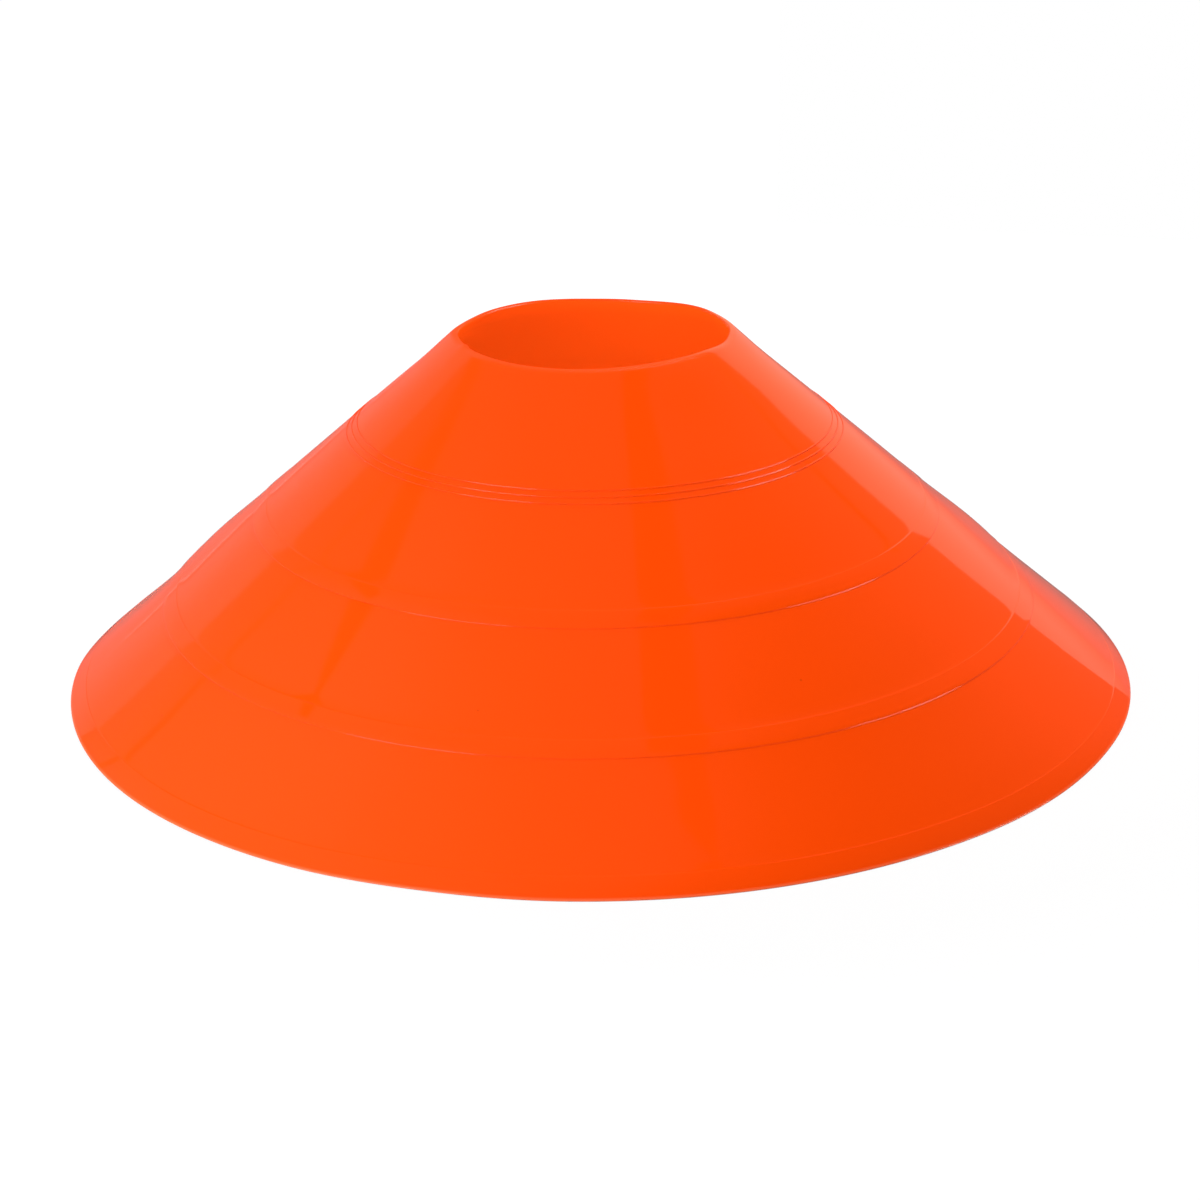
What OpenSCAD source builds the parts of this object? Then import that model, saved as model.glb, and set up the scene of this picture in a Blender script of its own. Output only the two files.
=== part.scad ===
// Sports marker cone: a low disc cone that is moulded in one piece of soft glossy plastic.
// It is open at the top and at the base, so cones nest in a stack and a post passes through them.
// Millimetres. +Z is up, and the origin is the centre of the base, on the ground.

/* [Cone] */
// Outer diameter across the base edge
base_d = 200; // [150:1:300]
// Height from the ground to the flat top edge
cone_h = 65; // [50:1:100]
// Outer diameter of the wall at the top edge, before its corner is rounded
top_d = 51; // [40:1:70]
// Wall thickness, square to the wall
wall_t = 1.1; // [0.8:0.05:2]

/* [Mouth] */
// Height of the upright wall inside the mouth
land_h = 0.5; // [0.4:0.05:0.8]
// Radius on the outer corner of the top edge
lip_r = 0.3; // [0.1:0.05:0.4]

/* [Fine rings] */
// How many fine rings lie side by side
ring_n = 3; // [1:1:5]
// From the top edge down the wall to the middle ring of the group
ring_at = 25.6; // [15:0.1:35]
// From one fine ring to the next, along the wall
ring_pitch = 1.32; // [1:0.02:2]
// Radius of a fine ring's rounded top
ring_r = 0.35; // [0.2:0.05:0.5]
// How far a fine ring stands out from the wall
ring_rise = 0.22; // [0.1:0.02:0.3]

/* [Raised bands] */
// From the top edge down the wall to the middle of the upper band
band_high_at = 49.1; // [42:0.1:58]
// From the top edge down the wall to the middle of the lower band
band_low_at = 72.7; // [64:0.1:80]
// Width of each band along the wall
band_w = 3.4; // [2:0.1:6]
// Radius on the edges of a band
band_r = 0.4; // [0.3:0.05:0.8]
// How far a band stands out from the wall
band_rise = 0.2; // [0.1:0.02:0.3]

/* [Base edge] */
// Width of the thicker band along the base edge, down the wall
rim_w = 4; // [3:0.1:8]
// How far that band stands out from the wall
rim_rise = 0.28; // [0.1:0.02:0.35]
// Radius of the rounded base edge
edge_r = 0.45; // [0.4:0.05:0.7]

/* [Hidden] */

// Curves are fine enough for a smooth view
$fn = 180;
// A rounded nose is small, so fewer sides are enough
nose_fn = 32;

base_r = base_d / 2;
top_r = top_d / 2;

// The base edge is a round bead that stands on the ground and reaches the full base diameter
edge = [base_r - edge_r, edge_r];

// The wall runs from the top corner to just inside that bead, so that the rim band, which stands
// out by rim_rise, leaves the bead as a tangent
wall_top = [top_r, cone_h];
reach = norm(edge - wall_top);
dip = atan2(cone_h - edge_r, base_r - edge_r - top_r);
slope = dip - asin((edge_r - rim_rise) / reach);

// Where the rim band starts, and where it meets the bead, measured down the wall
edge_at = reach * cos(dip - slope);
rim_at = edge_at - rim_w;

// A point so far down the wall from the top corner, and so far out from its outer face
function on_wall(down, out) = [
    top_r + down * cos(slope) + out * sin(slope),
    cone_h - down * sin(slope) + out * cos(slope)
];

// The mouth's bore cuts the thin inner corner back to an upright wall
mouth_r = top_r - wall_t / sin(slope) + land_h / tan(slope);
// Radius of the inner face at ground level
foot_r = top_r - wall_t / sin(slope) + cone_h / tan(slope);
// The rounded top corner starts this far from the sharp one
lip_cut = lip_r * tan(slope / 2);

// Places the children so far down the wall, with X down the wall and Y out from it
module at_wall(down) {
    translate(wall_top)
        rotate(-slope)
            translate([down, 0])
                children();
}

// The plain wall with its mouth, rim band and foot, cut through the middle
module wall_section() {
    polygon([
        [mouth_r, cone_h - land_h],
        [foot_r, 0],
        [base_r - edge_r, 0],
        on_wall(edge_at, rim_rise),
        on_wall(rim_at + band_r, rim_rise),
        on_wall(rim_at + band_r, 0),
        on_wall(lip_cut, 0),
        [top_r - lip_cut, cone_h],
        [mouth_r, cone_h]
    ]);
    translate([top_r - lip_cut, cone_h - lip_r])
        circle(r = lip_r, $fn = nose_fn);
    translate(edge)
        circle(r = edge_r, $fn = nose_fn);
    at_wall(rim_at + band_r)
        translate([0, rim_rise - band_r])
            circle(r = band_r, $fn = nose_fn);
}

// One fine ring, cut through: a round nose that is mostly sunk in the wall
module ring_section(down) {
    at_wall(down)
        translate([0, ring_rise - ring_r])
            circle(r = ring_r, $fn = nose_fn);
}

// One raised band, cut through: a flat bar with a round nose at each edge
module band_section(down) {
    nose_x = band_w / 2 - band_r;
    at_wall(down)
        translate([0, band_rise - band_r]) {
            translate([-nose_x, 0])
                square([2 * nose_x, band_r]);
            for (side = [-1, 1])
                translate([side * nose_x, 0])
                    circle(r = band_r, $fn = nose_fn);
        }
}

// The whole marker, turned from its section
module cone_shell() {
    color([1, 0.31, 0.06])
        rotate_extrude() {
            wall_section();
            for (i = [0 : ring_n - 1])
                ring_section(ring_at + (i - (ring_n - 1) / 2) * ring_pitch);
            band_section(band_high_at);
            band_section(band_low_at);
        }
}

cone_shell();
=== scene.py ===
"""A low sports marker cone, dressed for its picture.

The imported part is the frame, and its one node gives the overall size. A finely turned shell stands
for that node, because a real moulding is never quite true: its wall bows a little between the raised
bands, its mouth is slightly out of round, and its lip has a nick.

Lengths are metres in the part's own frame. +Z is up, and the origin is the centre of the base.
An azimuth is in degrees round the cone: 0 faces the camera side, -Y, and 90 faces +X.
"""

import logging
import math
from dataclasses import dataclass, field
from enum import Enum
from typing import Iterable, Sequence

import bpy
from mathutils import Euler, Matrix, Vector


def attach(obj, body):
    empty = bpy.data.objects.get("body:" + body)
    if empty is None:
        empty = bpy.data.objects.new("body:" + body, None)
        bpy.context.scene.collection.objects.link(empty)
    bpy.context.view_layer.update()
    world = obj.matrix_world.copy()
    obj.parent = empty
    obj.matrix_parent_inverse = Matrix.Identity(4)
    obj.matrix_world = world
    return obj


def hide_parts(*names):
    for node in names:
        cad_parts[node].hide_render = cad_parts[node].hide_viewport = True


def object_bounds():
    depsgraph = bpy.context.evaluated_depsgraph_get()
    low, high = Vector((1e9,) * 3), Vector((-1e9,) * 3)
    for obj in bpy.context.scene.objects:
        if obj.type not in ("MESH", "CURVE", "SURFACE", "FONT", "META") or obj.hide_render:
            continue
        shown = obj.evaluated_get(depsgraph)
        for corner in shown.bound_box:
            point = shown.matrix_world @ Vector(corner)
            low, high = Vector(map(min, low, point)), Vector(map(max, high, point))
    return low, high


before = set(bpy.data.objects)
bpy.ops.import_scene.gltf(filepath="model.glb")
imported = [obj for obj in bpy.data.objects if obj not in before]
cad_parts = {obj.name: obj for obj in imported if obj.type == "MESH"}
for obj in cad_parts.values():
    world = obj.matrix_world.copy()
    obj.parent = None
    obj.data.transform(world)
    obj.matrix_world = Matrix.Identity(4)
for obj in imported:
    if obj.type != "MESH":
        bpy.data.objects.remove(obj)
CAD_LOW, CAD_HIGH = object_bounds()

MM = 0.001
LOG = logging.getLogger("marker_cone")

NODE = "cone_shell"

# Vertices closer than this are one
WELD = 0.001 * MM
# A small step on the wall rounds off over this many times its height
STEP_RUN = 3
# The foot of a card of unit height, in the card's own coordinates
CARD_FOOT = -0.5

Point = tuple[float, float]
Colour = tuple[float, float, float]


class Face(Enum):
    """Which finish a face of the shell takes, as the number of its material slot."""

    OUTSIDE = 0
    INSIDE = 1


class Falloff(Enum):
    """How a push fades with distance from the vertices that it holds."""

    SMOOTH = "SMOOTH"
    POINTED = "SHARP"


def deselect_everything() -> None:
    """Leaves no object selected, because an operator acts on all that is."""
    bpy.ops.object.select_all(action="DESELECT")


def make_active(piece: bpy.types.Object) -> None:
    """Selects one object and nothing else.

    Args:
        piece: the object that the next operators act on.
    """
    deselect_everything()
    piece.select_set(True)
    bpy.context.view_layer.objects.active = piece


def towards(azimuth: float, elevation: float = 0.0) -> Vector:
    """The unit direction away from the axis at an azimuth and an elevation, both in degrees."""
    turn, rise = math.radians(azimuth), math.radians(elevation)
    return Vector((math.sin(turn) * math.cos(rise), -math.cos(turn) * math.cos(rise), math.sin(rise)))


def stepped(along: float, step: float) -> float:
    """Height gained so far along a small step of a given height, which rounds off at its top."""
    return step * math.sin(min(along / (STEP_RUN * step), 1.0) * math.pi / 2)


def step_stations(step: float) -> list[float]:
    """Distances along a small step of a given height at which the section needs a point."""
    return [step * times for times in (1, 2, STEP_RUN, STEP_RUN + 2)]


@dataclass(frozen=True)
class Ridge:
    """A raised line moulded all the way round the wall.

    Attributes:
        down: from the top edge down the wall to the middle of the line.
        width: whole width along the wall.
        nose: radius of its rounded edges.
        rise: how far it stands out from the wall, at its lower edge if it is a wedge.
        lead: how far its upper edge stands out, where a soft skirt takes the place of a rounded edge.
        skirt: length of that skirt, or zero for a line with two rounded edges.
        step: height of the crisp step at the skirt's end.
        foot: how softly a rounded edge runs into the wall.
    """

    down: float
    width: float
    nose: float
    rise: float
    lead: float = 0.0
    skirt: float = 0.0
    step: float = 0.012 * MM
    foot: float = 0.05 * MM

    @property
    def flat(self) -> float:
        """From the middle of the line to where a rounded edge begins."""
        return self.width / 2 - self.nose

    def rounded(self, off: float) -> float:
        """Height of a rounded edge.

        Args:
            off: distance beyond the place where the edge begins to round.

        Returns:
            The height above the plain wall.
        """
        if off >= self.nose:
            return 0.0
        bead = self.rise - self.nose + math.sqrt(self.nose**2 - max(off, 0.0) ** 2)
        blend = max(self.foot - abs(bead), 0.0) / self.foot
        return max(bead, 0.0) + blend**2 * self.foot / 4

    def stand_out(self, down: float) -> float:
        """How far the line stands out at one place on the wall.

        Args:
            down: distance down the wall from the top edge.

        Returns:
            The height above the plain wall, zero away from the line.
        """
        off = down - self.down
        if not self.skirt:
            return self.rounded(abs(off) - self.flat)
        if off > self.flat:
            return self.rounded(off - self.flat)
        top = -self.width / 2
        if off > top:
            start = self.lead + stepped(off - top, self.step)
            return start + (self.rise - self.lead - self.step) * (off - top) / (self.flat - top)
        return self.lead * max(1 - (top - off) / self.skirt, 0.0) ** 2

    def stations(self, steps: int = 6) -> list[float]:
        """Distances down the wall at which the line's section needs a point.

        Args:
            steps: points along each rounded edge, and along a skirt.

        Returns:
            The distances, close together on the edges.
        """
        lean = math.acos(1 - min((self.rise + self.foot / 2) / self.nose, 1.0))
        reach = [self.flat + self.nose * math.sin(lean * k / steps) for k in range(steps + 1)]
        reach += [reach[-1] + self.foot, reach[-1] + 4 * self.foot]
        lower = [self.down + away for away in reach]
        if not self.skirt:
            return [*(self.down - away for away in reach), *lower]
        top = self.down - self.width / 2
        crisp = [top + away for away in step_stations(self.step)]
        return [*(top - self.skirt * k / steps for k in range(steps + 1)), *crisp, *lower]


@dataclass(frozen=True)
class Rim:
    """The thicker band along the base edge, which the wall reaches by a soft skirt.

    Attributes:
        width: width of the band along the wall.
        lead: how far its upper edge stands out.
        rise: how far it stands out where it meets the base bead.
        skirt: length of the skirt above it.
        step: height of the crisp step at the skirt's end.
    """

    width: float = 4.0 * MM
    lead: float = 0.05 * MM
    rise: float = 0.12 * MM
    skirt: float = 1.5 * MM
    step: float = 0.012 * MM

    def stand_out(self, left: float) -> float:
        """How far the band stands out at one place.

        Args:
            left: distance left down the wall to the base bead.

        Returns:
            The height above the plain wall.
        """
        if left < self.width:
            start = self.lead + stepped(self.width - left, self.step)
            return start + (self.rise - self.lead - self.step) * (1 - left / self.width)
        return self.lead * max(1 - (left - self.width) / self.skirt, 0.0) ** 2

    def stations(self, steps: int = 6) -> list[float]:
        """Distances up from the base bead at which the section needs a point, steps on the skirt."""
        crisp = [self.width - away for away in step_stations(self.step)]
        return [*crisp, *(self.width + self.skirt * k / steps for k in range(steps + 1))]


@dataclass(frozen=True)
class Sway:
    """How far the plain wall stands off a straight line at one place.

    Attributes:
        down: distance down the wall from the top edge.
        out: stand-off square to the wall.
    """

    down: float
    out: float


@dataclass(frozen=True)
class Push:
    """A soft push that takes the shell a little out of true, as cooling and storage do.

    Attributes:
        azimuth: where the middle of the push is, in degrees round the cone.
        down: distance down the wall to the middle of the push.
        reach: radius of the region that gives way.
        outwards: push away from the axis.
        upwards: push up.
        falloff: how the push fades towards the edge of that region.
    """

    azimuth: float
    down: float
    reach: float
    outwards: float = 0.0
    upwards: float = 0.0
    falloff: Falloff = Falloff.SMOOTH


@dataclass
class ConeShell:
    """The one moulding that the marker is: a plain wall, open at the mouth and at the base.

    Attributes:
        base_r: radius of the base edge.
        height: height of the lip above the ground.
        top_r: radius at which the wall would meet the top edge, before that corner is rounded.
        wall_t: thickness of the wall.
        land_h: height of the upright wall inside the mouth.
        lip_r: radius of the lip's outer corner.
        edge_r: radius of the bead along the base edge.
        oval: how the shell stretches along X and along Y, because a soft ring is never quite round.
        rim: the thicker band above that bead.
        steps: how many flat facets make one turn.
        arc_steps: how many pieces make a rounded corner.
        stretch: longest step down the plain wall.
        ridges: the rings and bands on the wall.
        sways: where the plain wall leaves a straight line.
        pushes: where the shell has given way a little.
        slope: the wall's angle to the ground, worked out.
        edge_at: where the wall meets the base bead, worked out.
    """

    base_r: float
    height: float
    top_r: float = 25.5 * MM
    wall_t: float = 1.1 * MM
    land_h: float = 0.7 * MM
    lip_r: float = 2.2 * MM
    edge_r: float = 0.15 * MM
    oval: Point = (0.999, 1.006)
    rim: Rim = Rim()
    steps: int = 360
    arc_steps: int = 8
    stretch: float = 3.2 * MM
    ridges: Sequence[Ridge] = ()
    sways: Sequence[Sway] = ()
    pushes: Sequence[Push] = ()
    slope: float = field(init=False)
    edge_at: float = field(init=False)

    def __post_init__(self) -> None:
        """Works out the wall's slope, so that the rim band leaves the base bead as a tangent."""
        rise = self.height - self.edge_r
        run = self.base_r - self.edge_r - self.top_r
        reach = math.hypot(rise, run)
        dip = math.atan2(rise, run)
        self.slope = dip - math.asin((self.edge_r - self.rim.rise) / reach)
        self.edge_at = reach * math.cos(dip - self.slope)

    def on_wall(self, down: float, out: float) -> Point:
        """A point given by its place on the wall.

        Args:
            down: distance down the wall from the top corner.
            out: distance out from the plain straight wall.

        Returns:
            The point's radius and height.
        """
        radius = self.top_r + down * math.cos(self.slope) + out * math.sin(self.slope)
        height = self.height - down * math.sin(self.slope) + out * math.cos(self.slope)
        return radius, height

    def sway_at(self, down: float) -> float:
        """How far the plain wall bows out of straight at one place.

        Args:
            down: distance down the wall from the top corner.

        Returns:
            The stand-off, eased from one given place to the next.
        """
        for here, after in zip(self.sways, self.sways[1:]):
            if here.down <= down <= after.down:
                share = (down - here.down) / (after.down - here.down)
                eased = share * share * (3 - 2 * share)
                mixed = (share + eased) / 2
                return here.out + (after.out - here.out) * mixed
        return 0.0

    def outer_points(self) -> list[Point]:
        """The outer face's section, from the lip's corner down to the rim band's end.

        Returns:
            Points of radius and height.
        """
        start = self.lip_r * math.tan(self.slope / 2)
        count = math.ceil((self.edge_at - start) / self.stretch)
        plain = [start + (self.edge_at - start) * k / count for k in range(count + 1)]
        close = [down for ridge in self.ridges for down in ridge.stations()]
        close += [self.edge_at - left for left in self.rim.stations()]
        # A plain point gives way where a raised line has one about as close as this
        gap = self.stretch / 8
        kept = [down for down in plain if all(abs(down - near) > gap for near in close)]
        downs = sorted({*kept, *close, start, self.edge_at})
        return [self.on_wall(down, self.stand_out(down)) for down in downs]

    def stand_out(self, down: float) -> float:
        """How far the outer face is off the straight wall, so far down from the top corner."""
        raised = sum(ridge.stand_out(down) for ridge in self.ridges)
        return self.sway_at(down) + raised + self.rim.stand_out(self.edge_at - down)

    def arc(self, centre: Point, radius: float, first: float, last: float) -> list[Point]:
        """Points along an arc of the section.

        Args:
            centre: the arc's centre, as radius and height.
            radius: the arc's own radius.
            first: the angle that it starts at, in radians above the ground.
            last: the angle that it ends at.

        Returns:
            The points, both ends left out.
        """
        angles = [first + (last - first) * k / self.arc_steps for k in range(1, self.arc_steps)]
        return [
            (centre[0] + radius * math.cos(angle), centre[1] + radius * math.sin(angle))
            for angle in angles
        ]

    def section(self) -> list[Point]:
        """The whole wall cut through, as one closed outline.

        Returns:
            Points of radius and height: the mouth, the lip, down the outside and up the inside.
        """
        square = math.pi / 2 - self.slope
        through = self.wall_t / math.sin(self.slope)
        mouth_r = self.top_r - through + self.land_h / math.tan(self.slope)
        foot_r = self.top_r - through + self.height / math.tan(self.slope)
        cut = self.lip_r * math.tan(self.slope / 2)
        lip = (self.top_r - cut, self.height - self.lip_r)
        edge = (self.base_r - self.edge_r, self.edge_r)
        points = [(mouth_r, self.height - self.land_h), (mouth_r, self.height)]
        points.append((self.top_r - cut, self.height))
        points += self.arc(lip, self.lip_r, math.pi / 2, square)
        points += self.outer_points()
        points += self.arc(edge, self.edge_r, square, -math.pi / 2)
        points.append((edge[0], 0.0))
        points.append((foot_r, 0.0))
        length = (self.height - self.land_h) / math.sin(self.slope)
        count = math.ceil(length / self.stretch)
        for k in range(1, count):
            down = self.height / math.sin(self.slope) - length * k / count
            radius, height = self.on_wall(down, self.sway_at(down) - self.wall_t)
            points.append((radius, max(height, 0.0)))
        return points

    def turn(self) -> bpy.types.Object:
        """Draws the section point by point and spins it round the axis.

        Returns:
            The closed shell, with its faces pointing outwards.
        """
        deselect_everything()
        bpy.ops.mesh.primitive_plane_add(size=MM)
        shell = bpy.context.active_object
        bpy.ops.object.mode_set(mode="EDIT")
        bpy.ops.mesh.merge(type="CENTER")
        points = self.section()
        here = Vector((0.0, 0.0, 0.0))
        first = Vector((points[0][0], 0.0, points[0][1]))
        bpy.ops.transform.translate(value=first - here)
        here = first
        for radius, height in points[1:]:
            there = Vector((radius, 0.0, height))
            bpy.ops.mesh.extrude_vertices_move(TRANSFORM_OT_translate={"value": there - here})
            here = there
        bpy.ops.mesh.extrude_vertices_move(TRANSFORM_OT_translate={"value": first - here})
        bpy.ops.mesh.select_all(action="SELECT")
        bpy.ops.mesh.remove_doubles(threshold=WELD)
        bpy.ops.mesh.select_all(action="SELECT")
        bpy.ops.mesh.spin(steps=self.steps, angle=math.tau, center=(0, 0, 0), axis=(0, 0, 1))
        bpy.ops.mesh.select_all(action="SELECT")
        bpy.ops.mesh.remove_doubles(threshold=WELD)
        bpy.ops.mesh.normals_make_consistent(inside=False)
        bpy.ops.transform.resize(value=(*self.oval, 1.0), center_override=(0, 0, 0))
        bpy.ops.object.mode_set(mode="OBJECT")
        return shell

    def push(self, shell: bpy.types.Object, push: Push) -> None:
        """Moves the vertices nearest a place, and lets those around follow.

        Args:
            shell: the turned shell.
            push: where, how far and how widely.
        """
        radius, height = self.on_wall(push.down, 0.0)
        away = towards(push.azimuth)
        place = away * radius + Vector((0.0, 0.0, height))
        bpy.ops.object.mode_set(mode="EDIT")
        bpy.ops.mesh.select_all(action="DESELECT")
        bpy.ops.object.mode_set(mode="OBJECT")
        vertices = shell.data.vertices
        nearest = min(range(len(vertices)), key=lambda k: (vertices[k].co - place).length_squared)
        vertices[nearest].select = True
        bpy.ops.object.mode_set(mode="EDIT")
        bpy.ops.transform.translate(
            value=away * push.outwards + Vector((0.0, 0.0, push.upwards)),
            use_proportional_edit=True,
            proportional_edit_falloff=push.falloff.value,
            proportional_size=push.reach,
        )
        bpy.ops.object.mode_set(mode="OBJECT")

    def build(self) -> bpy.types.Object:
        """Makes the shell's mesh, smooth and a little out of true.

        Returns:
            The finished piece.
        """
        shell = self.turn()
        shell.name = "marker_cone"
        shell.data.name = "marker_cone"
        make_active(shell)
        for push in self.pushes:
            self.push(shell, push)
        bpy.ops.object.shade_smooth()
        return shell

    def dress(
        self,
        shell: bpy.types.Object,
        outside: bpy.types.Material,
        inside: bpy.types.Material,
    ) -> None:
        """Gives the two faces of the wall their finishes and ties the piece to the frame.

        Args:
            shell: the finished piece.
            outside: the polished outer finish.
            inside: the finish of the inner face.
        """
        shell.data.materials.append(outside)
        shell.data.materials.append(inside)
        middle_of_lip = self.top_r - self.wall_t / 2
        for polygon in shell.data.polygons:
            across = Vector((polygon.center.x, polygon.center.y, 0.0))
            inwards = polygon.normal.dot(across) < 0
            low = across.length < middle_of_lip or inwards
            polygon.material_index = Face.INSIDE.value if low and inwards else Face.OUTSIDE.value
        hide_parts(NODE)
        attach(shell, "root")


@dataclass(frozen=True)
class MouldedSkin:
    """The effects that both faces of the moulding share, each made once as a node group.

    Attributes:
        smear_size: size of the patches in which the polish varies.
        smear: by what share the polish varies.
        wave_size: size of one wave in the skin.
        wave: depth of that faint waviness.
        fleck_gap: distance between the places at which a fleck can lie.
        fleck_size: size of a fleck.
        edge: how far up from the ground the base edge carries painted light, as if glowing through the
            thin plastic.
    """

    smear_size: float = 36 * MM
    smear: float = 0.15
    wave_size: float = 9 * MM
    wave: float = 0.01 * MM
    fleck_gap: float = 9 * MM
    fleck_size: float = 0.3 * MM
    edge: float = 0.55 * MM

    def start(self, name: str, inputs: Sequence[str], output: str, kind: str) -> bpy.types.NodeTree:
        """Starts a group that takes a place and some values and gives back one thing.

        Args:
            name: the group's name.
            inputs: names of the values that it takes besides the place.
            output: name of what it gives back.
            kind: the output's socket type.

        Returns:
            The group, with its entry and exit nodes in that order.
        """
        group = bpy.data.node_groups.new(name, "ShaderNodeTree")
        group.interface.new_socket("Place", in_out="INPUT", socket_type="NodeSocketVector")
        for entry in inputs:
            group.interface.new_socket(entry, in_out="INPUT", socket_type="NodeSocketFloat")
        group.interface.new_socket(output, in_out="OUTPUT", socket_type=kind)
        group.nodes.new("NodeGroupInput")
        group.nodes.new("NodeGroupOutput")
        return group

    def polish(self) -> bpy.types.NodeTree:
        """A group that gives the roughness at each height, a little uneven.

        Returns:
            The group.
        """
        group = self.start("polish", ("Low", "High"), "Roughness", "NodeSocketFloat")
        nodes, links = group.nodes, group.links
        entry, leave = nodes[0], nodes[1]
        split = nodes.new("ShaderNodeSeparateXYZ")
        level = nodes.new("ShaderNodeMapRange")
        level.inputs["From Max"].default_value = CAD_HIGH.z
        smear = nodes.new("ShaderNodeTexNoise")
        smear.inputs["Scale"].default_value = 1 / self.smear_size
        vary = nodes.new("ShaderNodeMapRange")
        vary.inputs["To Min"].default_value = 1 - self.smear
        vary.inputs["To Max"].default_value = 1 + self.smear
        mix = nodes.new("ShaderNodeMath")
        mix.operation = "MULTIPLY"
        links.new(entry.outputs["Place"], split.inputs["Vector"])
        links.new(split.outputs["Z"], level.inputs["Value"])
        links.new(entry.outputs["Low"], level.inputs["To Min"])
        links.new(entry.outputs["High"], level.inputs["To Max"])
        links.new(entry.outputs["Place"], smear.inputs["Vector"])
        links.new(smear.outputs["Fac"], vary.inputs["Value"])
        links.new(level.outputs["Result"], mix.inputs[0])
        links.new(vary.outputs["Result"], mix.inputs[1])
        links.new(mix.outputs["Value"], leave.inputs["Roughness"])
        return group

    def waves(self) -> bpy.types.NodeTree:
        """A group that gives the faint waviness of a moulded skin.

        Returns:
            The group.
        """
        group = self.start("waves", (), "Normal", "NodeSocketVector")
        nodes, links = group.nodes, group.links
        entry, leave = nodes[0], nodes[1]
        wave = nodes.new("ShaderNodeTexNoise")
        wave.inputs["Scale"].default_value = 1 / self.wave_size
        wave.inputs["Detail"].default_value = 1.0
        bump = nodes.new("ShaderNodeBump")
        bump.inputs["Distance"].default_value = self.wave
        links.new(entry.outputs["Place"], wave.inputs["Vector"])
        links.new(wave.outputs["Fac"], bump.inputs["Height"])
        links.new(bump.outputs["Normal"], leave.inputs["Normal"])
        return group

    def flecks(self) -> bpy.types.NodeTree:
        """A group that masks a few tiny flecks of dust and grit.

        Returns:
            The group.
        """
        group = self.start("flecks", (), "Mask", "NodeSocketFloat")
        nodes, links = group.nodes, group.links
        entry, leave = nodes[0], nodes[1]
        cells = nodes.new("ShaderNodeTexVoronoi")
        cells.inputs["Scale"].default_value = 1 / self.fleck_gap
        near = nodes.new("ShaderNodeMapRange")
        near.inputs["From Min"].default_value = self.fleck_size / self.fleck_gap / 2
        near.inputs["From Max"].default_value = self.fleck_size / self.fleck_gap
        near.inputs["To Min"].default_value = 1.0
        near.inputs["To Max"].default_value = 0.0
        links.new(entry.outputs["Place"], cells.inputs["Vector"])
        links.new(cells.outputs["Distance"], near.inputs["Value"])
        links.new(near.outputs["Result"], leave.inputs["Mask"])
        return group

    def painted_edge_light(self) -> bpy.types.NodeTree:
        """A group that masks the painted light at the base edge, strongest at the ground.

        Returns:
            The group.
        """
        group = self.start("painted_edge_light", (), "Mask", "NodeSocketFloat")
        nodes, links = group.nodes, group.links
        entry, leave = nodes[0], nodes[1]
        split = nodes.new("ShaderNodeSeparateXYZ")
        low = nodes.new("ShaderNodeMapRange")
        low.inputs["From Max"].default_value = self.edge
        low.inputs["To Min"].default_value = 1.0
        low.inputs["To Max"].default_value = 0.0
        links.new(entry.outputs["Place"], split.inputs["Vector"])
        links.new(split.outputs["Z"], low.inputs["Value"])
        links.new(low.outputs["Result"], leave.inputs["Mask"])
        return group

    def effects(self) -> dict[str, bpy.types.NodeTree]:
        """Makes every group.

        Returns:
            The groups, by the names that the finishes know them by.
        """
        return {
            "polish": self.polish(),
            "waves": self.waves(),
            "flecks": self.flecks(),
            # edge masks the painted light at the base edge
            "edge": self.painted_edge_light(),
        }


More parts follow.
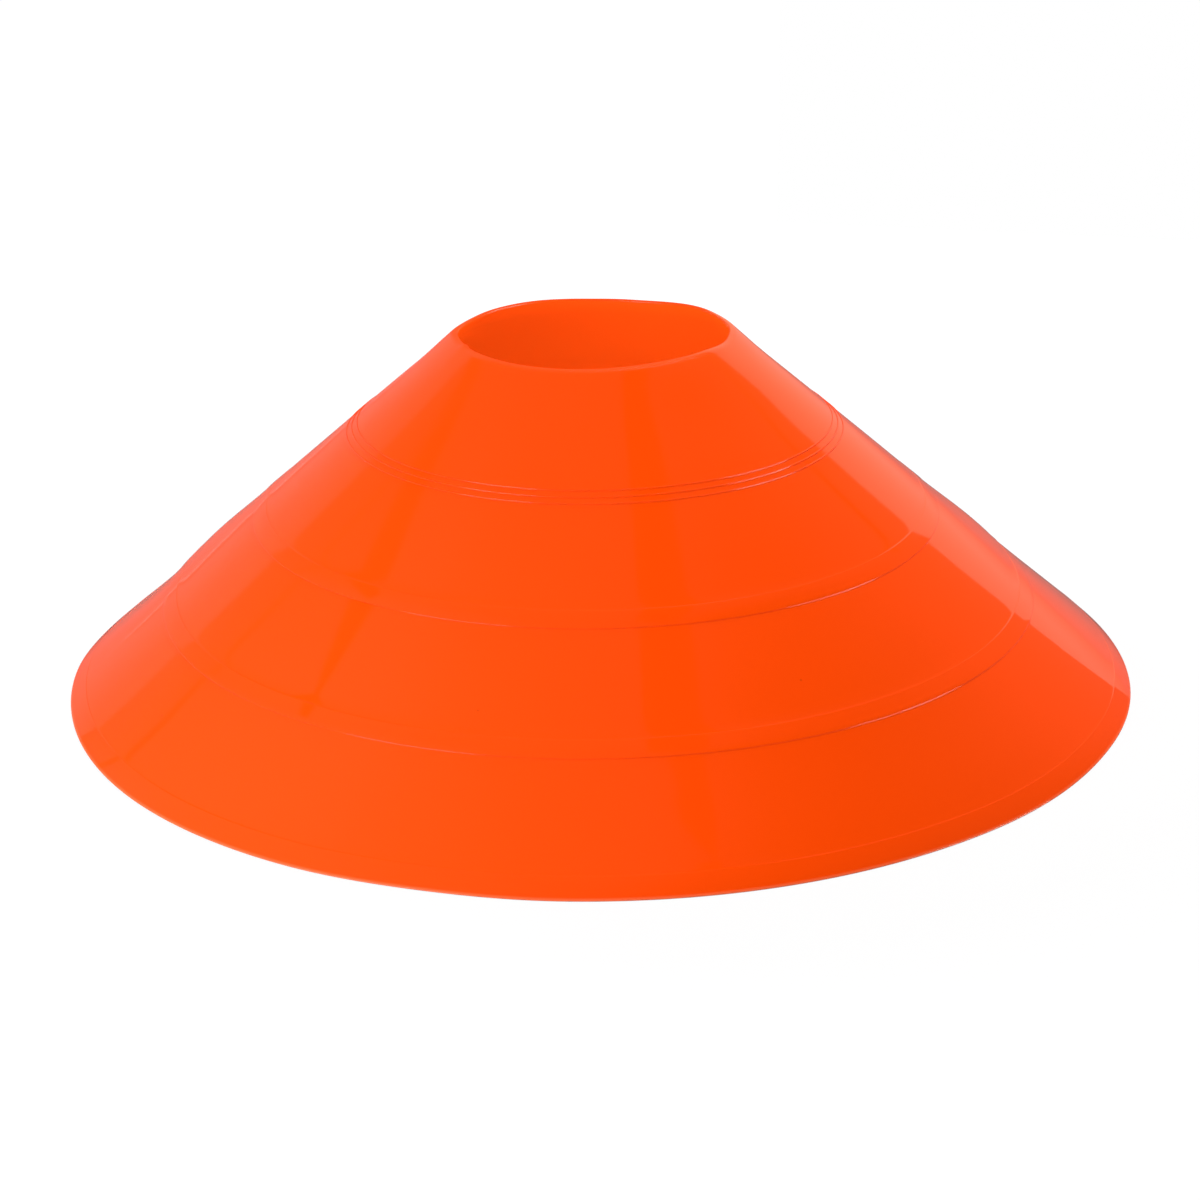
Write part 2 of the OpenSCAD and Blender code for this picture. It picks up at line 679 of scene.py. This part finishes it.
@dataclass(frozen=True)
class GlossPlastic:
    """Orange polyethylene as it leaves a polished mould.

    Attributes:
        name: the finish's name.
        colour: the plastic's own colour, in linear light.
        gloss_low: roughness at the foot of the wall, where the mould is polished best.
        gloss_high: roughness at the top of the wall.
        painted_edge_light_colour: a paler colour painted on the thin base edge, painted light where
            light comes through.
        fleck_shade: how much of the colour is left in a fleck.
        soak: how much of the light that falls on the far side comes through.
        lets_in: whether light inside the wall passes this face from behind.
        haze: how strongly the finely scuffed skin catches light at a grazing angle.
        haze_width: how far from that angle it still does, as a roughness.
        ior: index of refraction.
    """

    name: str
    colour: Colour
    gloss_low: float
    gloss_high: float
    # Painted light: a paler colour for the base edge
    painted_edge_light_colour: Colour = (1.0, 0.21, 0.085)
    fleck_shade: float = 0.75
    soak: float = 0.0
    lets_in: bool = False
    haze: float = 0.0
    haze_width: float = 0.3
    ior: float = 1.5

    def build(self, effects: dict[str, bpy.types.NodeTree]) -> bpy.types.Material:
        """Makes the material.

        Args:
            effects: the shared node groups by name: polish, waves, flecks and edge, which masks the
                painted light at the base edge.

        Returns:
            The node material.
        """
        material = bpy.data.materials.new(self.name)
        material.use_nodes = True
        nodes, links = material.node_tree.nodes, material.node_tree.links
        shader = nodes["Principled BSDF"]
        shader.inputs["Base Color"].default_value = (*self.colour, 1.0)
        shader.inputs["Roughness"].default_value = (self.gloss_low + self.gloss_high) / 2
        shader.inputs["IOR"].default_value = self.ior
        shader.inputs["Sheen Weight"].default_value = self.haze
        shader.inputs["Sheen Roughness"].default_value = self.haze_width
        shader.inputs["Sheen Tint"].default_value = (*self.colour, 1.0)
        place = nodes.new("ShaderNodeTexCoord")
        names = ("polish", "waves", "flecks", "edge")
        polish, waves, flecks, edge = (self.add(effects[name], place, nodes, links) for name in names)
        polish.inputs["Low"].default_value = self.gloss_low
        polish.inputs["High"].default_value = self.gloss_high
        tint = nodes.new("ShaderNodeMix")
        tint.data_type = "RGBA"
        tint.inputs["A"].default_value = (*self.colour, 1.0)
        tint.inputs["B"].default_value = (*[part * self.fleck_shade for part in self.colour], 1.0)
        links.new(flecks.outputs["Mask"], tint.inputs["Factor"])
        # Painted light: the base edge takes a paler colour, as if lit through the thin plastic
        pale = nodes.new("ShaderNodeMix")
        pale.data_type = "RGBA"
        pale.inputs["B"].default_value = (*self.painted_edge_light_colour, 1.0)
        links.new(tint.outputs["Result"], pale.inputs["A"])
        links.new(edge.outputs["Mask"], pale.inputs["Factor"])
        links.new(pale.outputs["Result"], shader.inputs["Base Color"])
        links.new(polish.outputs["Roughness"], shader.inputs["Roughness"])
        links.new(waves.outputs["Normal"], shader.inputs["Normal"])
        if self.soak:
            self.mix_in(material, "ShaderNodeBsdfTranslucent", self.soak)
        if self.lets_in:
            mix = self.mix_in(material, "ShaderNodeBsdfTransparent", 0.0)
            side = nodes.new("ShaderNodeNewGeometry")
            links.new(side.outputs["Backfacing"], mix.inputs["Fac"])
        return material

    def add(
        self,
        effect: bpy.types.NodeTree,
        place: bpy.types.Node,
        nodes: bpy.types.Nodes,
        links: bpy.types.NodeLinks,
    ) -> bpy.types.Node:
        """Adds one shared effect to the material.

        Args:
            effect: the node group.
            place: the node that gives the place on the object.
            nodes: the material's nodes.
            links: the material's links.

        Returns:
            The group's node.
        """
        node = nodes.new("ShaderNodeGroup")
        node.node_tree = effect
        links.new(place.outputs["Object"], node.inputs["Place"])
        return node

    def mix_in(self, material: bpy.types.Material, kind: str, share: float) -> bpy.types.Node:
        """Mixes a second shader with the main one.

        Args:
            material: the material to change.
            kind: the second shader's node type.
            share: how much of the second shader to take.

        Returns:
            The mixing node.
        """
        nodes, links = material.node_tree.nodes, material.node_tree.links
        second = nodes.new(kind)
        if kind == "ShaderNodeBsdfTranslucent":
            second.inputs["Color"].default_value = (*self.colour, 1.0)
        mix = nodes.new("ShaderNodeMixShader")
        mix.inputs["Fac"].default_value = share
        links.new(nodes["Principled BSDF"].outputs["BSDF"], mix.inputs[1])
        links.new(second.outputs["BSDF"], mix.inputs[2])
        links.new(mix.outputs["Shader"], nodes["Material Output"].inputs["Surface"])
        return mix


@dataclass(frozen=True)
class StagePaint:
    """A self-lit finish for what stands round the cone: white to the camera, dimmer in a reflection.

    Attributes:
        name: the finish's name.
        glow: how bright it is in a reflection, where 1 is white.
        tint: its colour in a reflection.
        fade: over what share of its height, from the foot, a card changes from the foot's brightness.
        faded: how bright that foot is in a reflection.
        seen: how bright the camera sees it.
    """

    name: str
    glow: float
    tint: Colour = (1.0, 1.0, 1.0)
    fade: float = 0.0
    faded: float = 0.32
    seen: float = 1.0

    def build(self) -> bpy.types.Material:
        """Makes the material.

        Returns:
            The node material.
        """
        material = bpy.data.materials.new(self.name)
        material.use_nodes = True
        nodes, links = material.node_tree.nodes, material.node_tree.links
        nodes.remove(nodes["Principled BSDF"])
        path = nodes.new("ShaderNodeLightPath")
        lit = nodes.new("ShaderNodeEmission")
        colour = nodes.new("ShaderNodeMix")
        colour.data_type = "RGBA"
        glow = [self.glow * part for part in self.tint]
        colour.inputs["A"].default_value = (*glow, 1.0)
        if self.fade:
            place = nodes.new("ShaderNodeTexCoord")
            split = nodes.new("ShaderNodeSeparateXYZ")
            dim = nodes.new("ShaderNodeMapRange")
            dim.inputs["From Min"].default_value = CARD_FOOT
            dim.inputs["From Max"].default_value = CARD_FOOT + self.fade
            dim.inputs["To Min"].default_value = self.faded / self.glow
            dim.inputs["To Max"].default_value = 1.0
            scale = nodes.new("ShaderNodeVectorMath")
            scale.operation = "SCALE"
            scale.inputs[0].default_value = glow
            links.new(place.outputs["Object"], split.inputs["Vector"])
            links.new(split.outputs["Y"], dim.inputs["Value"])
            links.new(dim.outputs["Result"], scale.inputs["Scale"])
            links.new(scale.outputs["Vector"], colour.inputs["A"])
        colour.inputs["B"].default_value = (self.seen, self.seen, self.seen, 1.0)
        links.new(path.outputs["Is Camera Ray"], colour.inputs["Factor"])
        links.new(colour.outputs["Result"], lit.inputs["Color"])
        links.new(lit.outputs["Emission"], nodes["Material Output"].inputs["Surface"])
        return material


@dataclass(frozen=True)
class Softbox:
    """A soft studio lamp, given by where it hangs as seen from the cone.

    Attributes:
        name: what the lamp does.
        azimuth: degrees round the cone.
        elevation: degrees above the ground.
        away: distance from the cone.
        wide: how wide it looks from the cone, in degrees.
        tall: how tall it looks from the cone, in degrees.
        glow: how bright the panel looks, where 1 is white.
        in_gloss: whether the gloss mirrors the panel.
    """

    name: str
    azimuth: float
    elevation: float
    away: float
    wide: float
    tall: float
    glow: float
    in_gloss: bool = True

    def build(self, aim: Vector) -> bpy.types.Object:
        """Hangs the lamp so that it faces the cone.

        Args:
            aim: the point that the lamp faces.

        Returns:
            The lamp.
        """
        place = aim + towards(self.azimuth, self.elevation) * self.away
        deselect_everything()
        bpy.ops.object.light_add(type="AREA", location=place)
        lamp = bpy.context.active_object
        lamp.name = self.name
        lamp.data.shape = "RECTANGLE"
        lamp.data.size = 2 * self.away * math.tan(math.radians(self.wide / 2))
        lamp.data.size_y = 2 * self.away * math.tan(math.radians(self.tall / 2))
        lamp.data.energy = self.glow * math.pi * lamp.data.size * lamp.data.size_y
        lamp.rotation_euler = (aim - place).to_track_quat("-Z", "Y").to_euler()
        lamp.visible_camera = False
        lamp.visible_glossy = self.in_gloss
        return lamp


@dataclass(frozen=True)
class Sheet:
    """A flat self-lit sheet of the studio, between two ends given in plan.

    Attributes:
        name: what the sheet is.
        start: one end of its middle line.
        end: the other end.
        height: how high it stands or hangs.
        paint: its finish.
    """

    name: str
    start: Point
    end: Point
    height: float
    paint: StagePaint

    def place(self, level: float, depth: float, tilt: float) -> bpy.types.Object:
        """Puts the sheet between its two ends, where it throws no shadow.

        Args:
            level: height of its middle.
            depth: its size square to the line between the ends.
            tilt: how far it is tipped up from level, in degrees.

        Returns:
            The sheet.
        """
        start, end = Vector((*self.start, level)), Vector((*self.end, level))
        across = end - start
        deselect_everything()
        bpy.ops.mesh.primitive_plane_add(size=1.0)
        sheet = bpy.context.active_object
        sheet.name = self.name
        sheet.scale = (across.length, depth, 1.0)
        sheet.rotation_euler = (math.radians(tilt), 0.0, math.atan2(across.y, across.x))
        sheet.location = (start + end) / 2
        sheet.visible_shadow = False
        sheet.data.materials.append(self.paint.build())
        return sheet


@dataclass(frozen=True)
class Card(Sheet):
    """A sheet that stands on the floor behind the cone."""

    def build(self) -> bpy.types.Object:
        """Stands the card up."""
        return self.place(level=self.height / 2, depth=self.height, tilt=90.0)


@dataclass(frozen=True)
class Flag(Sheet):
    """A level sheet hung in the air, which the gloss mirrors and the camera doesn't see.

    Attributes:
        width: its width.
    """

    width: float

    def build(self) -> bpy.types.Object:
        """Hangs the sheet.

        Returns:
            The sheet.
        """
        sheet = self.place(level=self.height, depth=self.width, tilt=0.0)
        sheet.visible_camera = False
        return sheet


@dataclass(frozen=True)
class Stand:
    """A thin dark pole that stands beside the backdrop.

    Attributes:
        name: what the pole is.
        azimuth: degrees round the cone.
        away: distance from the cone.
        radius: the pole's radius.
        height: height of its upper end.
        paint: its finish.
        foot: height of its lower end, for a pole that hangs.
    """

    name: str
    azimuth: float
    away: float
    radius: float
    height: float
    paint: StagePaint
    foot: float = 0.0

    def build(self) -> bpy.types.Object:
        """Sets up the pole.

        Returns:
            The pole.
        """
        middle = Vector((0.0, 0.0, (self.foot + self.height) / 2))
        place = towards(self.azimuth) * self.away + middle
        depth = self.height - self.foot
        deselect_everything()
        bpy.ops.mesh.primitive_cylinder_add(radius=self.radius, depth=depth, location=place)
        pole = bpy.context.active_object
        pole.name = self.name
        pole.visible_camera = False
        pole.visible_shadow = False
        pole.data.materials.append(self.paint.build())
        return pole


@dataclass(frozen=True)
class Floor:
    """The plain floor, lifted to white for the camera, with the cone's soft shadow left on it.

    Attributes:
        size: side of the floor.
        shade: how much light it throws back.
        mirrored: light added where the cone's gloss shows the floor, outside the cone alone.
        edge_shares: the shares of the base radius at which that light starts and is whole.
        lift_near: light added for the camera alone, close to the cone.
        lift_far: the same, away from the cone, where the lamps no longer reach.
        near: distance from the axis at which the lift starts to grow.
        far: distance at which it is whole.
    """

    size: float = 8.0
    shade: float = 0.08
    mirrored: float = 0.185
    edge_shares: Point = (0.98, 1.02)
    lift_near: float = 0.9
    lift_far: float = 1.0
    near: float = 120 * MM
    far: float = 320 * MM

    def build(self) -> bpy.types.Object:
        """Lays the floor.

        Returns:
            The floor.
        """
        deselect_everything()
        bpy.ops.mesh.primitive_plane_add(size=self.size)
        floor = bpy.context.active_object
        floor.name = "floor"
        material = bpy.data.materials.new("pale_floor")
        material.use_nodes = True
        nodes, links = material.node_tree.nodes, material.node_tree.links
        shader = nodes["Principled BSDF"]
        shader.inputs["Base Color"].default_value = (self.shade, self.shade, self.shade, 1.0)
        shader.inputs["Roughness"].default_value = 1.0
        shader.inputs["Specular IOR Level"].default_value = 0.0
        shader.inputs["Emission Color"].default_value = (1.0, 1.0, 1.0, 1.0)
        place = nodes.new("ShaderNodeTexCoord")
        away = nodes.new("ShaderNodeVectorMath")
        away.operation = "LENGTH"
        grow = nodes.new("ShaderNodeMapRange")
        grow.inputs["From Min"].default_value = self.near
        grow.inputs["From Max"].default_value = self.far
        grow.inputs["To Min"].default_value = self.lift_near
        grow.inputs["To Max"].default_value = self.lift_far
        beyond = nodes.new("ShaderNodeMapRange")
        starts, whole_at = self.edge_shares
        beyond.inputs["From Min"].default_value = starts * CAD_HIGH.x
        beyond.inputs["From Max"].default_value = whole_at * CAD_HIGH.x
        beyond.inputs["To Max"].default_value = self.mirrored
        path = nodes.new("ShaderNodeLightPath")
        lift, shown, whole = (nodes.new("ShaderNodeMath") for _ in range(3))
        lift.operation = "MULTIPLY"
        shown.operation = "MULTIPLY"
        whole.operation = "ADD"
        links.new(away.outputs["Value"], beyond.inputs["Value"])
        links.new(beyond.outputs["Result"], shown.inputs[1])
        links.new(place.outputs["Object"], away.inputs[0])
        links.new(away.outputs["Value"], grow.inputs["Value"])
        links.new(grow.outputs["Result"], lift.inputs[0])
        links.new(path.outputs["Is Camera Ray"], lift.inputs[1])
        links.new(path.outputs["Is Glossy Ray"], shown.inputs[0])
        links.new(lift.outputs["Value"], whole.inputs[0])
        links.new(shown.outputs["Value"], whole.inputs[1])
        links.new(whole.outputs["Value"], shader.inputs["Emission Strength"])
        floor.data.materials.append(material)
        return floor


@dataclass(frozen=True)
class Room:
    """The dim room round the stage, white to the camera.

    Each level is a pair: how far to the right it lies, from -1 to 1, and how bright the room is there.

    Attributes:
        back: levels behind and right above the cone.
        front: levels on the camera side.
        leaf: direction square to the plane that parts the two on the right, mirrored on the left.
        blend: how far beyond that plane the front still shows, where 1 is square to the plane.
    """

    back: Sequence[Point] = (
        (-0.8, 0.155), (-0.74, 0.135), (-0.66, 0.1), (-0.55, 0.12), (-0.2, 0.115),
        (0.0, 0.105), (0.3, 0.105), (0.5, 0.1), (0.65, 0.095), (0.8, 0.09),
    )
    front: Sequence[Point] = (
        (-0.7, 0.23), (-0.6, 0.225), (-0.45, 0.17), (-0.2, 0.115), (0.0, 0.08),
        (0.2, 0.04), (0.42, 0.015), (0.6, 0.02), (0.8, 0.05),
    )
    leaf: tuple[float, float, float] = (-0.548, 0.708, 0.445)
    blend: float = 0.2

    def ramp(self, nodes: bpy.types.Nodes, levels: Sequence[Point]) -> bpy.types.Node:
        """Adds a ramp through some levels.

        Args:
            nodes: the world's nodes.
            levels: the levels from left to right.

        Returns:
            The ramp's node.
        """
        node = nodes.new("ShaderNodeValToRGB")
        for _ in levels[2:]:
            node.color_ramp.elements.new(0.5)
        for element, (across, level) in zip(node.color_ramp.elements, levels):
            element.position = (across + 1) / 2
            element.color = (level, level, level, 1.0)
        return node

    def build(self) -> None:
        """Fills the world."""
        world = bpy.data.worlds.new("room")
        bpy.context.scene.world = world
        world.use_nodes = True
        nodes, links = world.node_tree.nodes, world.node_tree.links
        place = nodes.new("ShaderNodeTexCoord")
        split = nodes.new("ShaderNodeSeparateXYZ")
        across = nodes.new("ShaderNodeMapRange")
        across.inputs["From Min"].default_value = -1.0
        fold = nodes.new("ShaderNodeVectorMath")
        fold.operation = "ABSOLUTE"
        folded = nodes.new("ShaderNodeSeparateXYZ")
        joined = nodes.new("ShaderNodeCombineXYZ")
        beyond = nodes.new("ShaderNodeVectorMath")
        beyond.operation = "DOT_PRODUCT"
        beyond.inputs[1].default_value = self.leaf
        share = nodes.new("ShaderNodeMapRange")
        share.interpolation_type = "SMOOTHSTEP"
        share.inputs["From Max"].default_value = self.blend
        front, back = self.ramp(nodes, self.front), self.ramp(nodes, self.back)
        path = nodes.new("ShaderNodeLightPath")
        both, mix = nodes.new("ShaderNodeMix"), nodes.new("ShaderNodeMix")
        both.data_type = mix.data_type = "RGBA"
        mix.inputs["B"].default_value = (1.0, 1.0, 1.0, 1.0)
        links.new(place.outputs["Generated"], split.inputs["Vector"])
        links.new(place.outputs["Generated"], fold.inputs[0])
        links.new(fold.outputs["Vector"], folded.inputs["Vector"])
        links.new(folded.outputs["X"], joined.inputs["X"])
        links.new(split.outputs["Y"], joined.inputs["Y"])
        links.new(split.outputs["Z"], joined.inputs["Z"])
        links.new(joined.outputs["Vector"], beyond.inputs[0])
        links.new(beyond.outputs["Value"], share.inputs["Value"])
        links.new(split.outputs["X"], across.inputs["Value"])
        for levels, entry in ((front, "A"), (back, "B")):
            links.new(across.outputs["Result"], levels.inputs["Fac"])
            links.new(levels.outputs["Color"], both.inputs[entry])
        links.new(share.outputs["Result"], both.inputs["Factor"])
        links.new(both.outputs["Result"], mix.inputs["A"])
        links.new(path.outputs["Is Camera Ray"], mix.inputs["Factor"])
        links.new(mix.outputs["Result"], nodes["Background"].inputs["Color"])


@dataclass
class Studio:
    """All that stands round the cone.

    Attributes:
        floor: the floor.
        room: the dim surroundings.
        pieces: cards, hung sheets and stands.
        softboxes: the lamps.
    """

    floor: Floor
    room: Room
    pieces: Sequence["Card | Flag | Stand"]
    softboxes: Sequence[Softbox]

    def build(self, aim: Vector) -> None:
        """Sets the stage.

        Args:
            aim: the point that the lamps face.
        """
        self.floor.build()
        self.room.build()
        for piece in self.pieces:
            piece.build()
        for softbox in self.softboxes:
            softbox.build(aim)


@dataclass(frozen=True)
class PictureCamera:
    """The camera at the photograph's viewing angle.

    Attributes:
        away: distance from the cone's axis along the ground.
        height: height above the ground.
        pitch: how far it looks down, in degrees.
        yaw: how far it is turned to its left, in degrees.
        roll: how far it leans to its left, in degrees.
        lens: focal length in the camera's own millimetres.
        sensor: width of the sensor in the same millimetres.
    """

    away: float = 470.6 * MM
    height: float = 189.9 * MM
    pitch: float = 20.65
    yaw: float = -0.05
    roll: float = -0.75
    lens: float = 79.27
    sensor: float = 36.0

    def build(self) -> bpy.types.Object:
        """Sets up the camera and makes it the scene's own.

        Returns:
            The camera.
        """
        deselect_everything()
        bpy.ops.object.camera_add(location=(0.0, -self.away, self.height))
        camera = bpy.context.active_object
        camera.name = "picture_camera"
        turn = Euler((0.0, 0.0, math.radians(self.yaw))).to_quaternion()
        tilt = Euler((math.radians(90 - self.pitch), 0.0, 0.0)).to_quaternion()
        lean = Euler((0.0, 0.0, math.radians(self.roll))).to_quaternion()
        camera.rotation_mode = "QUATERNION"
        camera.rotation_quaternion = turn @ tilt @ lean
        camera.data.sensor_width = self.sensor
        camera.data.lens = self.lens
        camera.data.clip_start = 10 * MM
        bpy.context.scene.camera = camera
        return camera


def marker_shell() -> ConeShell:
    """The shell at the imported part's size, with its rings, bands and small faults.

    Returns:
        The shell's sizes.
    """
    ring = 0.14 * MM
    pitch = 1.32 * MM
    middle = 25.6 * MM
    rings = [
        Ridge(middle + turn * pitch, width=2 * ring, nose=ring, rise=0.13 * MM)
        for turn in (-1, 0, 1)
    ]
    bands = [
        Ridge(down, width=3.4 * MM, nose=0.11 * MM, rise=0.11 * MM, lead=0.05 * MM, skirt=2 * MM)
        for down in (49.1 * MM, 72.7 * MM)
    ]
    sways = [Sway(80 * MM, 0.0), Sway(93.8 * MM, 0.16 * MM), Sway(98.3 * MM, 0.0)]
    pushes = [
        Push(-98.0, 0.5 * MM, 11 * MM, outwards=0.6 * MM),
        Push(100.0, 0.5 * MM, 9 * MM, outwards=0.35 * MM),
        Push(-103.0, 16 * MM, 24 * MM, outwards=0.25 * MM),
        Push(-105.0, 45 * MM, 46 * MM, outwards=0.7 * MM),
        Push(-103.0, 66 * MM, 14 * MM, outwards=0.6 * MM),
        Push(-103.0, 86 * MM, 26 * MM, outwards=-0.95 * MM),
        Push(-75.0, 98 * MM, 45 * MM, outwards=-0.25 * MM),
        Push(103.0, 35 * MM, 34 * MM, outwards=0.2 * MM),
        Push(103.0, 63 * MM, 13 * MM, outwards=0.65 * MM),
        Push(102.0, 75.5 * MM, 6 * MM, outwards=-0.5 * MM),
        Push(75.0, 98 * MM, 50 * MM, outwards=0.4 * MM),
        Push(48.0, 98 * MM, 30 * MM, outwards=0.35 * MM),
        Push(-17.0, 98 * MM, 24 * MM, outwards=-0.4 * MM),
        Push(52.0, 0.0, 18 * MM, upwards=0.5 * MM),
        Push(70.0, 0.0, 9 * MM, upwards=-0.3 * MM),
        Push(22.0, 0.0, 12 * MM, upwards=0.22 * MM),
        Push(-25.0, 0.0, 16 * MM, upwards=-0.15 * MM),
        Push(128.0, 0.0, 15 * MM, upwards=0.6 * MM),
        Push(-134.0, 0.0, 14 * MM, upwards=0.45 * MM),
        Push(-158.0, 0.0, 11 * MM, upwards=0.3 * MM),
        Push(-70.0, 0.0, 2.4 * MM, outwards=-0.4 * MM, upwards=0.5 * MM, falloff=Falloff.POINTED),
    ]
    return ConeShell(
        base_r=CAD_HIGH.x,
        height=CAD_HIGH.z,
        ridges=[*rings, *bands],
        sways=sways,
        pushes=pushes,
    )


def cone_finishes() -> tuple[GlossPlastic, GlossPlastic]:
    """The two finishes of the one plastic.

    Returns:
        The polished outside and the duller inside, whose paler colour is painted light standing in for
        light in the hollow.
    """
    outside = GlossPlastic(
        "polished_orange",
        colour=(1.0, 0.067, 0.0006),
        gloss_low=0.03,
        gloss_high=0.1,
        lets_in=True,
        haze=0.55,
    )
    inside = GlossPlastic(
        "inner_orange_painted_light",
        # Painted light: paler than the outside's colour, standing in for light in the hollow
        colour=(1.0, 0.082, 0.0042),
        gloss_low=0.25,
        gloss_high=0.25,
        soak=0.345,
    )
    return outside, inside


def marker_studio() -> Studio:
    """The studio as the gloss of the photographed cone shows it.

    Returns:
        The studio's pieces and lamps.
    """
    bright = StagePaint("sheet_bright", 0.54, tint=(1.0, 1.0, 0.85), fade=0.12)
    dim = StagePaint("sheet_dim", 0.22, fade=0.25)
    overhead = StagePaint("sheet_overhead", 0.16)
    dark = StagePaint("dark_gap", 0.02)
    left_dark = StagePaint("left_dark_gap", 0.04)
    pole_left = StagePaint("dark_stand_left", 0.07)
    pole_right = StagePaint("dark_stand_right", 0.03)
    cards = [
        Card("backdrop_right", start=(0.329, 0.307), end=(0.06, 0.381), height=0.34, paint=bright),
        Card("backdrop_left", start=(-1.77, 1.77), end=(-0.5, 1.77), height=1.7, paint=dim),
    ]
    flags = [
        Flag("overhead_sheet", (0.0, 0.05), (0.0, 0.8), height=0.6, paint=overhead, width=0.5),
        Flag("overhead_gap", (0.312, 0.1), (0.219, -0.348), height=1.0, paint=dark, width=0.173),
        Flag("left_gap", (-1.03, 1.1), (-0.94, 0.17), height=1.0, paint=left_dark, width=0.14),
    ]
    stands = [
        Stand("stand_left", -121.9, away=0.9, radius=0.011, height=1.0, paint=pole_left),
        Stand("stand_right", 125.6, away=0.6, radius=0.009, height=1.0, paint=pole_right, foot=0.31),
    ]
    softboxes = [
        Softbox("key_left", -43.0, 14.0, away=0.36, wide=32.0, tall=30.0, glow=7.2, in_gloss=False),
        Softbox("key_left_window", -43.0, 14.0, away=0.37, wide=32.0, tall=30.0, glow=3.0),
        Softbox("rim_left", -140.0, 8.0, away=0.6, wide=40.0, tall=18.0, glow=13.0, in_gloss=False),
        Softbox("fill_right", 82.0, 14.0, away=2.0, wide=36.0, tall=26.0, glow=7.3),
        Softbox("rim_right", 150.0, 12.0, away=0.8, wide=30.0, tall=20.0, glow=8.0, in_gloss=False),
        Softbox("overhead", 150.0, 60.0, away=0.3, wide=34.0, tall=34.0, glow=9.6, in_gloss=False),
    ]
    return Studio(Floor(), Room(), pieces=[*cards, *flags, *stands], softboxes=softboxes)


def main() -> None:
    """Builds the scene in order and reports the shell's face count."""
    logging.basicConfig(level=logging.INFO, format="%(name)s: %(message)s")
    bpy.context.scene.view_settings.view_transform = "Standard"
    PictureCamera().build()
    cone = marker_shell()
    shell = cone.build()
    effects = MouldedSkin().effects()
    outside, inside = cone_finishes()
    cone.dress(shell, outside.build(effects), inside.build(effects))
    LOG.info("%s: %d faces", shell.name, len(shell.data.polygons))
    marker_studio().build(Vector((0.0, 0.0, CAD_HIGH.z / 2)))


if __name__ == "__main__":
    main()
